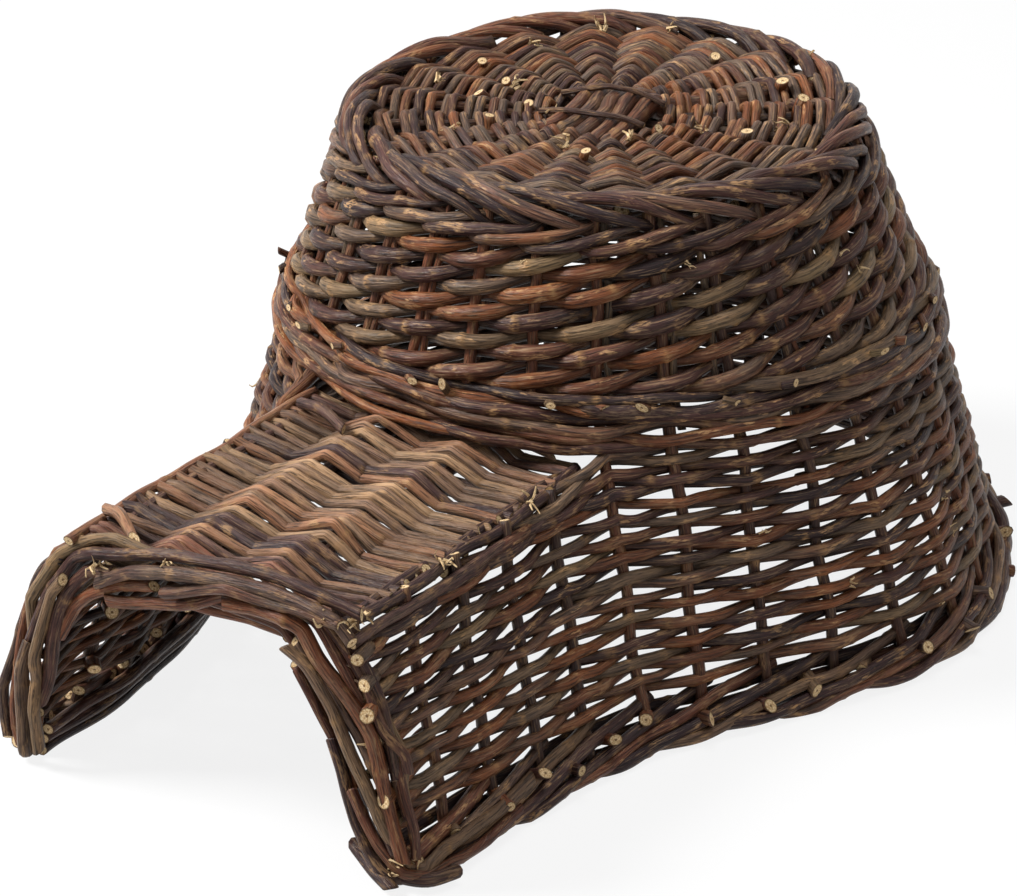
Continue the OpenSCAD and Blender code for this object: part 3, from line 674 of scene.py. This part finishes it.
# Three points, thickness and tone
STRAY_ENDS = (
    ((-50, -78, 122), (-36, -75, 128), (-12, -80, 140), 6.2, 0.85),
    ((-66, -96, 122), (-50, -104, 126), (-30, -116, 125), 6.0, 0.1),
    ((-72, -236, 123), (-58, -244, 127), (-40, -257, 126), 5.6, 0.5),
    ((20, -92, 122), (40, -84, 126), (60, -80, 123), 6.0, 0.7),
)
for *run, d, tone in STRAY_ENDS:
    roof.rod(np.array(run) * MM, d * MM, d * 0.9 * MM, tone, slant=(0.4, 0.9))

# Mouth border: rods bent round the mouth that cross each other, four of them on into the foot border.
# For each rod: thickness, tone, depth, and x and height at its bends.

MOUTH_RODS = (
    (5.5, 0.05, -256, (-119, 4), (-121, 14), (-118, 32), (-110, 56), (-101, 86), (-92, 98), (-80, 108)),
    (6.2, 0.90, -260, (-99, 55), (-97, 66), (-98, 82), (-88, 97), (-78, 110), (-62, 120), (-48, 125),
     (-26, 123)),
    (5.5, 0.45, -257, (-110, 3), (-113, 14), (-112, 30), (-109, 52), (-102, 76), (-94, 92), (-83, 108),
     (-70, 117)),
    (6.2, 0.84, -267, (-94, 9), (-92, 31), (-92, 46), (-90, 60), (-86, 76), (-81, 92), (-74, 101)),
    (6.6, 0.20, -264, (-92, 34), (-88, 47), (-82, 70), (-78, 84), (-72, 96), (-62, 107), (-48, 110)),
    (6.6, 0.14, -262, (-97, 60), (-88, 86), (-78, 99), (-70, 110), (-58, 117), (-35, 122), (-10, 127),
     (15, 130.5), (40, 131), (60, 129.5), (82, 126)),
    (6.2, 0.67, -266, (-56, 104), (-37, 114), (-15, 120.5), (15, 126), (36, 127), (55, 125), (72, 122),
     (80, 114)),
    (6.0, 0.48, -262, (-82, 68), (-72, 86), (-62, 95), (-45, 104), (-26, 110)),
    (6.2, 0.62, -267, (-17, 111), (2, 117.5), (18, 123), (40, 122), (58, 122.5), (76, 121)),
    (6.0, 0.40, -262, (-52, 96), (-36, 98), (-15, 104), (8, 113), (24, 119)),
    (6.6, 0.52, -265, (12, 113), (30, 115), (46, 116), (54, 112.5), (62, 102), (76, 86), (88, 72), (93, 58),
     (96, 44), (100, 26), (103, 14)),
    (5.4, 0.46, -256, (-14, 102), (0, 103), (20, 104), (38, 102)),
    (5.2, 0.30, -260, (0, 110), (16, 111), (38, 107), (50, 99)),
    (5.3, 0.32, -261, (55, 119), (74, 97), (89, 67), (92, 53)),
    (5.0, 0.10, -263, (50, 110), (61, 90), (71, 71), (81, 51), (89, 37), (99, 18)),
    (5.2, 0.22, -261, (59, 118), (72, 107), (82, 92), (93, 75), (102, 65), (103, 56)),
    (5.2, 0.12, -259, (67, 115), (81, 99), (89, 82), (96, 65), (98, 47), (102, 34)),
    (4.8, 0.28, -261, (48, 91), (59, 74), (68, 60), (72, 44), (78, 26)),
    (5.9, 0.14, -259, (48, 120), (60, 114), (67, 104), (74, 92), (82, 80), (92, 66), (97, 50)),
    (5.9, 0.70, -264, (50, 106), (58, 96), (68, 85), (80, 70), (88, 58), (93, 46), (98, 30), (102, 16)),
    (5.5, 0.48, -259, (46, 92), (54, 82), (64, 70), (72, 56), (76, 40), (80, 24)),
    (5.0, 0.88, -255, (72, 103), (78, 92), (88, 77), (97, 64), (99, 56), (98, 46), (100, 30)),
    (5.4, 0.30, -258, (84, 78), (94, 64), (98, 54), (101, 42), (104, 28), (106, 14)),
    (5.4, 0.08, -254, (64, 122), (70, 110), (76, 94), (80, 76), (84, 60)),
)
# Thickness, tone, bends down a leg of the mouth, and then place, out and height beside the foot
FOOT_TURNS = (
    (6.2, 0.80,
     ((46, -266, 102), (57, -267, 96), (70, -267, 80), (80, -267, 60), (87, -267, 48), (95, -266, 30),
      (102, -260, 11), (108, -255, 9)),
     (0.6, 1.2, 1.9, 2.6), (12, 11, 9, 7), (12, 13, 14, 18)),
    (5.7, 0.35,
     ((78, -264, 42), (84, -265, 31), (92, -266, 20), (102, -264, 9), (109, -256, 6)),
     (0.7, 1.4, 2.2), (13, 11, 9), (6, 6, 9)),
    (5.7, 0.08,
     ((66, -262, 62), (71, -263, 50), (74, -263, 38), (79, -264, 26), (88, -265, 13), (98, -264, 5)),
     (0.3, 1.0, 1.8), (10, 9, 8), (4.5, 4.5, 5)),
    (6.4, 0.74,
     ((-96, -264, 62), (-100, -266, 48), (-102, -266, 34), (-102, -266, 19), (-103, -264, 5)),
     (SKIRT - 1.5, SKIRT - 2.2, SKIRT - 3), (4, 5, 7), (5, 5, 8)),
)
# Two short rods at the foot of the right leg
RIGHT_TOE = np.array([[71, -254, 7.5], [86, -262.5, 5.5], [101, -270, 4.3]]) * MM
RIGHT_HEEL = np.array([[77, -256, 11], [89, -259, 7], [100, -261, 5], [111, -257, 4.6],
                       [117, -244, 4.6]]) * MM
mouth = Bundle(9, sides=10, settled=False)
for d, tone, y, *bends in MOUTH_RODS:
    x, z = np.array(bends).T
    run = np.stack([x, y + mouth.rng.normal(0, 0.9, len(x)), z], axis=-1) * MM
    mouth.rod(run, d * MM, d * 0.9 * MM, tone, ref=BACKWARD, ease_in=0.5, stray=0.6 * MM, slant=(0.5, 0.5))
for d, tone, bends, place, out, z in FOOT_TURNS:
    run = np.vstack([np.array(bends) * MM, settle(beside_foot(place, out, z))])
    mouth.rod(run, d * MM, d * 0.9 * MM, tone, ref=BACKWARD, ease_in=0.6, stray=0.5 * MM, slant=(0.5, 0.5))
mouth.rod(RIGHT_TOE, 6.4 * MM, 6.2 * MM, 0.06, slant=(0.7, 1.0), face=-UP, buds=0)
mouth.rod(RIGHT_HEEL, 6.8 * MM, 6.4 * MM, 0.1, slant=(0.6, 0.4), buds=0)
mouth.butt(np.array([38, -246, 102]) * MM, [0.3, -1, 0.1], 5.6 * MM, 14 * MM, 0.4, slant=0.2)

# Foot border: rods that rise past four stakes, a band inside, and the stakes' butts

foot_rods = Bundle(10, sides=10)
for j in np.arange(-2, SKIRT - 1):
    place = j + np.array([-0.4, 0.3, 1, 2, 3, 4.2])
    keep = (place >= 0) & (place <= SKIRT - 1)
    if keep.sum() < 2:
        continue
    d = foot_rods.rng.uniform(5.8, 7.0) * MM
    reach = (STAKE_D + d) / 2 / MM
    out = np.array([-0.6, 0.9, 1.1, 1.1, 0.8, -0.4])[keep] * reach + foot_rods.rng.normal(0, 0.5, keep.sum())
    z = np.array([4.5, 4.0, 5.2, 10.8, 16.5, 22.5])[keep] + foot_rods.rng.normal(0, 0.8, keep.sum())
    tone = foot_rods.pick(0.05, 0.15, 0.2, 0.3, 0.6, 0.64, 0.68, 0.74)
    foot_rods.rod(beside_foot(place[keep], out, z), d, d * 0.88, tone, crest=[0.2, 0.9, 1, 1, 0.7, 0.1],
                  stray=0.6 * MM, slant=(0.4, 0.4), ease_in=0.9)
for level in BAND_ZS:
    base = skirt(level)
    for start in range(0, SKIRT - 1, 7):
        k = np.arange(start, min(start + 9, SKIRT))
        d = foot_rods.rng.uniform(5.4, 6.4) * MM
        run = base[k] - foot_out[k] * ((STAKE_D + d) / 2 + 0.3 * MM)
        foot_rods.rod(run, d, d * 0.9, foot_rods.pick(0.0, 0.15, 0.3), stray=0.4 * MM)
for place in np.arange(0.35, SKIRT - 1, 0.8):
    place = place + foot_rods.rng.uniform(-0.14, 0.14)
    at = beside_foot([place], [0], [foot_rods.rng.uniform(9, 17)])[0]
    k = int(round(place))
    toward = foot_out[k] + foot_along[k] * foot_rods.rng.normal(-0.2, 0.35)
    toward = toward + UP * foot_rods.rng.normal(0.15, 0.25)
    foot_rods.butt(at, toward, foot_rods.rng.uniform(5.4, 7.0) * MM, foot_rods.rng.uniform(10, 13) * MM,
                   slant=foot_rods.rng.uniform(0.1, 0.8))

# Torn fibres at cut ends and sharp bends

fibres = Bundle(11, sides=4, pace=6 * MM)
CROWN_TEARS = ((-55, 70), (30, 40), (-19, 49), (-57, 155), (-28, 171), (-46, 9), (51, 169), (54, 68),
               (-88, 54), (84, 95), (8, 20), (-75, 120))
for x, y in CROWN_TEARS:
    fibres.torn(np.array([x, y, 229]) * MM, [*fibres.rng.normal(0, 1, 2), 0.3], 5, 7 * MM, 1.4 * MM)
for turn in fibres.rng.uniform(0, 2 * math.pi, 10):
    z = fibres.rng.uniform(144, 212) * MM
    fibres.torn(around(wall_r(z) + 6.5 * MM, turn, z), along(turn), 3, 5 * MM)
for place in fibres.rng.uniform(0.5, SKIRT - 1.5, 16):
    k = int(round(place))
    at = beside_foot([place], [5], [fibres.rng.uniform(15, 90)])[0]
    fibres.torn(at, foot_along[k], 3, 4 * MM)
TUNNEL_TEARS = ((-56, -266, 112), (66, -266, 121), (77, -262, 120), (97, -264, 12), (73, -190, 118),
                (74, -250, 118), (-20, -262, 124), (74, -120, 118), (84, -262, 66))
for at in TUNNEL_TEARS:
    fibres.torn(np.array(at) * MM, [0.6, -0.5, 0.2], 6, 8 * MM, 1.1 * MM)

# Finishes


class Value:
    """An output socket with arithmetic: each operation adds a Math node to its finish."""

    def __init__(self, finish, socket):
        self.finish, self.socket = finish, socket

    def math(self, operation, a, b=0.0):
        return self.finish.node("ShaderNodeMath", {"operation": operation}, {0: a, 1: b})

    def __add__(self, other):
        return self.math("ADD", self, other)

    __radd__ = __add__

    def __sub__(self, other):
        return self.math("SUBTRACT", self, other)

    def __rsub__(self, other):
        return self.math("SUBTRACT", other, self)

    def __mul__(self, other):
        return self.math("MULTIPLY", self, other)

    __rmul__ = __mul__

    def above(self, low, high):
        """0 up to low, 1 from high on, and smooth between."""
        return self.finish.node("ShaderNodeMapRange", {"interpolation_type": "SMOOTHSTEP"},
                                {"Value": self, "From Min": low, "From Max": high})


class Finish:
    """A material, or the world, and the nodes in it."""

    def __init__(self, owner):
        self.owner = owner
        owner.use_nodes = True
        self.tree = owner.node_tree
        self.tree.nodes.clear()

    def node(self, kind, settings=None, sockets=None, out=0):
        """Adds a node, sets it and its sockets' values or links, and returns one of its outputs."""
        made = self.tree.nodes.new(kind)
        for key, setting in (settings or {}).items():
            if key == "stops":
                ramp = made.color_ramp
                while len(ramp.elements) < len(setting):
                    ramp.elements.new(0.5)
                for element, (place, colour) in zip(ramp.elements, setting):
                    element.position, element.color = place, colour
            else:
                setattr(made, key, setting)
        for key, value in (sockets or {}).items():
            if isinstance(value, Value):
                self.tree.links.new(value.socket, made.inputs[key])
            else:
                made.inputs[key].default_value = value
        return Value(self, made.outputs[out]) if len(made.outputs) else made

    def attribute(self, name, out="Fac"):
        return self.node("ShaderNodeAttribute", {"attribute_name": name}, out=out)

    def noise(self, vector, stretch, detail=3.0):
        """Noise whose cycles along each axis of the vector are stretch."""
        wide = self.node("ShaderNodeVectorMath", {"operation": "MULTIPLY"}, {0: vector, 1: stretch})
        return self.node("ShaderNodeTexNoise", {}, {"Vector": wide, "Scale": 1.0, "Detail": detail})

    def mix(self, share, a, b):
        return self.node("ShaderNodeMix", {"data_type": "RGBA"}, {0: share, 6: a, 7: b}, out=2)


def colour(code):
    """A linear colour from its six-digit code."""
    parts = np.array([int(code[i:i + 2], 16) for i in (0, 2, 4)]) / 255
    linear = np.where(parts <= 0.04045, parts / 12.92, ((parts + 0.055) / 1.055) ** 2.4)
    return (*linear.tolist(), 1.0)


def stops(*codes):
    """Ramp stops at even steps."""
    return [(i / (len(codes) - 1), colour(code)) for i, code in enumerate(codes)]


BARK_GLOSS = 0.14
BARK_RELIEF = 0.9 * MM


def bark(name, tones, dust):
    """Willow bark: a tone for each rod, streaks and cracks along it, dust, scuffs, buds, and pale cut ends.

    Each layer is mixed over the last where its noise is above or below a range. The rods get painted shade
    where they pass inside, and a cut end has a pith and a rim by the distance from the rod's middle.
    """
    f = Finish(bpy.data.materials.new(name))
    grain = f.attribute("grain", "Vector")
    crest = f.attribute("crest")
    patches = f.noise(grain, (0.8, 0.5, 0.5))
    scuffs = f.noise(grain, (2.6, 0.9, 0.9), 4.0)
    streaks = f.noise(grain, (1.2, 2.2, 2.2), 4.0)
    cracks = f.noise(grain, (3.0, 4.5, 4.5), 3.0)
    fine = f.noise(grain, (10.0, 5.0, 5.0), 2.0)
    shade = f.attribute("tone") + (patches - 0.5) * 0.24 + (streaks - 0.5) * 0.14
    skin = f.node("ShaderNodeValToRGB", {"stops": tones}, {0: shade})
    skin = f.mix(streaks.above(0.48, 0.66) * 0.55, skin, colour("191110"))
    skin = f.mix((1 - streaks.above(0.30, 0.44)) * 0.4, skin, colour("a17e5c"))
    skin = f.mix(cracks.above(0.53, 0.63) * 0.7, skin, colour("120c0b"))
    skin = f.mix((1 - cracks.above(0.32, 0.44)) * 0.34, skin, colour("a98d6d"))
    skin = f.mix(patches.above(0.52, 0.70) * fine.above(0.42, 0.58) * dust, skin, colour("7d6a54"))
    crest_mask = (crest * 0.5 + 0.15) * scuffs.above(0.56, 0.66) * fine.above(0.38, 0.54)
    skin = f.mix(crest_mask, skin, colour("bd9468"))
    skin = f.mix(f.attribute("knot") * fine.above(0.35, 0.6) * 0.8, skin, colour("a07a50"))
    # Painted shade: near-black mixed in by 1 - crest, where a rod passes inside a stake or is tucked in
    skin = f.mix((1 - crest) * 0.62, skin, colour("110b0a"))
    flat = f.node("ShaderNodeVectorMath", {"operation": "MULTIPLY"}, {0: grain, 1: (0.0, 1.0, 1.0)})
    radius = f.node("ShaderNodeVectorMath", {"operation": "LENGTH"}, {0: flat}, out="Value")
    wood = f.mix(fine.above(0.35, 0.65), colour("dcc49c"), colour("b08d60"))
    wood = f.mix(1 - radius.above(0.10, 0.26), wood, colour("6e5238"))
    wood = f.mix(radius.above(0.70, 0.95), wood, colour("46301f"))
    cut = f.attribute("cut")
    base = f.mix(cut, skin, wood)
    rough = 0.24 + fine * 0.32 + cut * 0.28
    height = streaks * 0.8 + cracks * 0.8 + fine * 0.4
    normal = f.node("ShaderNodeBump", {}, {"Strength": 0.8, "Distance": BARK_RELIEF, "Height": height})
    shader = f.node("ShaderNodeBsdfPrincipled", {}, {
        "Base Color": base, "Roughness": rough, "Normal": normal, "Specular IOR Level": BARK_GLOSS})
    f.node("ShaderNodeOutputMaterial", {}, {"Surface": shader})
    return f.owner


woven_bark = bark(
    "woven_bark", stops("2b1c1d", "492d27", "613926", "7f4a2a", "57453b", "735c43", "8a7452"), 0.3)
stake_bark = bark(
    "stake_bark", stops("291c1c", "432c25", "633b29", "7a462e", "533d33", "655444", "706556"), 0.25)
border_bark = bark(
    "border_bark", stops("2c1d1f", "4b2f2a", "653a2a", "824b2f", "5a453d", "7a5f46", "8e7551"), 0.3)
roof_bark = bark(
    "roof_bark", stops("433030", "6c4e45", "8a5a47", "9f7253", "836653", "aa8664", "c59f7a"), 0.4)

stakes.make("stakes", stake_bark, "stake_bark", "wall_stakes", "front_stakes", "tunnel_stakes")
upper.make("upper_weave", woven_bark, "woven_bark", *rows("upper", UPPER_ROWS))
wale.make("shoulder_wale_rods", woven_bark, "woven_bark", "shoulder_wale")
lower.make("lower_weave", woven_bark, "woven_bark", *rows("lower", LOWER_ROWS))
slath.make("slath", stake_bark, "stake_bark", "slath_long_sticks", "slath_cross_sticks", "slath_ties")
crown.make("crown_weave", woven_bark, "woven_bark", *rows("crown", CROWN_ROWS))
rim.make("crown_rim_rods", border_bark, "border_bark", "crown_rim")
roof.make("tunnel_roof", roof_bark, "roof_bark", "roof_sticks", "roof_edge_rods", "roof_cross_rods")
mouth.make("mouth_border_rods", border_bark, "border_bark", "mouth_border")
foot_rods.make("foot_border_rods", border_bark, "border_bark", "foot_border", "foot_band")
fibres.make("torn_fibres", woven_bark, "woven_bark")

# Floor, light and camera

floor_mesh = bpy.data.meshes.new("floor")
FLOOR_HALF = 6
corners = [(x * FLOOR_HALF, y * FLOOR_HALF, 0) for x, y in ((-1, -1), (1, -1), (1, 1), (-1, 1))]
floor_mesh.from_pydata(corners, [], [(0, 1, 2, 3)])
floor = bpy.data.objects.new("floor", floor_mesh)
bpy.context.scene.collection.objects.link(floor)


def seen(f):
    """1 for what the camera sees, also in a mirror or through glass, and 0 for the light on the object."""
    kinds = ("Camera", "Glossy", "Transmission")
    rays = [f.node("ShaderNodeLightPath", out=f"Is {kind} Ray") for kind in kinds]
    return rays[0].math("MAXIMUM", rays[0].math("MAXIMUM", rays[0], rays[1]), rays[2])


ground = Finish(bpy.data.materials.new("floor"))
matt = ground.node("ShaderNodeBsdfDiffuse", {}, {"Color": (0.75, 0.75, 0.75, 1)})
glow = ground.node("ShaderNodeEmission", {}, {"Color": (1, 1, 1, 1), "Strength": 1.0})
pale = ground.node("ShaderNodeMixShader", {}, {0: seen(ground) * 0.85, 1: matt, 2: glow})
ground.node("ShaderNodeOutputMaterial", {}, {"Surface": pale})
floor_mesh.materials.append(ground.owner)

world = bpy.data.worlds.new("studio")
bpy.context.scene.world = world
sky = Finish(world)
soft = sky.node("ShaderNodeBackground", {}, {"Color": (1, 1, 1, 1), "Strength": 0.11})
white = sky.node("ShaderNodeBackground", {}, {"Color": (1, 1, 1, 1), "Strength": 1.0})
both = sky.node("ShaderNodeMixShader", {}, {0: seen(sky), 1: soft, 2: white})
sky.node("ShaderNodeOutputWorld", {}, {"Surface": both})


def lamp(name, place, size, watts):
    """A square area lamp that faces the house."""
    data = bpy.data.lights.new(name, "AREA")
    data.size, data.energy = size, watts
    made = bpy.data.objects.new(name, data)
    made.location = place
    aim = unit(np.array([0, 0, 0.1]) - np.array(place))
    made.rotation_euler = math.acos(-aim[2]), 0, math.atan2(aim[1], aim[0]) - math.pi / 2
    bpy.context.scene.collection.objects.link(made)


lamp("key", (-1.6, -1.0, 1.8), 0.8, 112)
lamp("fill", (1.7, -1.0, 1.1), 1.4, 8)
lamp("top", (0.0, 0.2, 2.0), 1.0, 20)

# The photo's width and the lens's focal length, both in pixels, and where the camera stands
PHOTO_W = 1017
FOCAL = 4180
SENSOR = 36.0
AZIMUTH, ELEVATION = math.radians(33.2), math.radians(25.3)
DISTANCE = 1.9804
TARGET = np.array([-3.7, -19.1, 84.6]) * MM
lens = bpy.data.cameras.new("camera")
lens.sensor_width, lens.lens = SENSOR, SENSOR * FOCAL / PHOTO_W
camera = bpy.data.objects.new("camera", lens)
camera.location = TARGET + DISTANCE * (away(AZIMUTH) * math.cos(ELEVATION) + UP * math.sin(ELEVATION))
camera.rotation_euler = math.pi / 2 - ELEVATION, 0, AZIMUTH
bpy.context.scene.collection.objects.link(camera)
bpy.context.scene.camera = camera
bpy.context.scene.view_settings.view_transform = "Standard"
